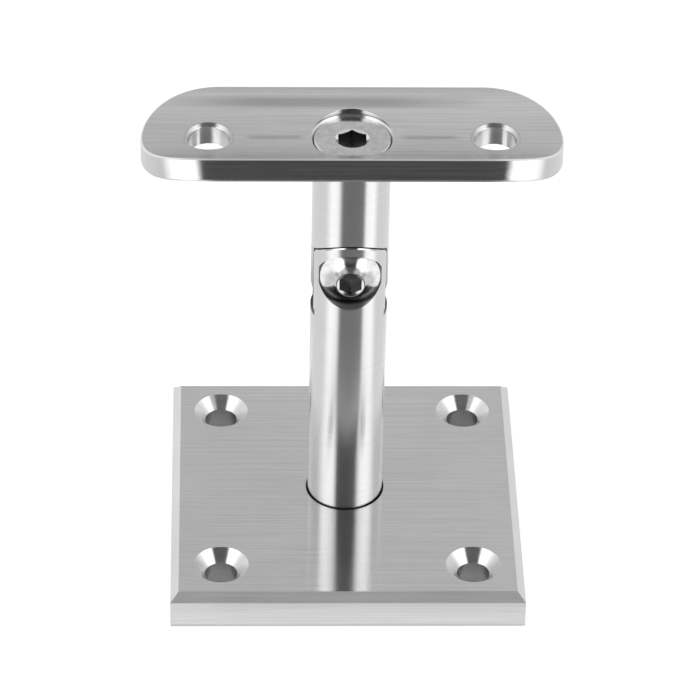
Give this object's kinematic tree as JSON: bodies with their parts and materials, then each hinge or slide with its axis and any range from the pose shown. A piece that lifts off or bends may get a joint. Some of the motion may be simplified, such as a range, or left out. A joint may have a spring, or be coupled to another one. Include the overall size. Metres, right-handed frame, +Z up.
{
  "type": "handrail bracket",
  "caption": "Adjustable handrail bracket: square base plate with countersunk holes, round stem with a pivot knuckle, and a curved saddle plate that carries a round tube.",
  "frame": {"origin": "middle of the base plate's underside", "axes": "+Z up along the stem, X along the handrail, -Y towards the side with the pivot screw's head"},
  "size_m": [0.0752, 0.065, 0.0891],
  "materials": {
    "base_plate": "satin stainless steel, brushed along the handrail",
    "lower_stem": "satin turned stainless steel",
    "base_screw": "plain stainless steel",
    "pivot_screw": "plain stainless steel",
    "upper_stem": "satin turned stainless steel",
    "saddle_plate": "satin stainless steel, brushed along the handrail",
    "saddle_screw": "plain stainless steel"
  },
  "bodies": {
    "foot": {"base_plate": "base_plate", "lower_stem": "lower_stem", "base_screw": "base_screw", "pivot_screw": "pivot_screw"},
    "head": {"upper_stem": "upper_stem", "saddle_plate": "saddle_plate", "saddle_screw": "saddle_screw"}
  },
  "joints": [
    {"name": "knuckle", "type": "hinge", "parent": "foot", "child": "head", "pos_m": [0, 0, 0.059], "axis": [0, 1, 0], "range_deg": [-65, 65]}
  ]
}
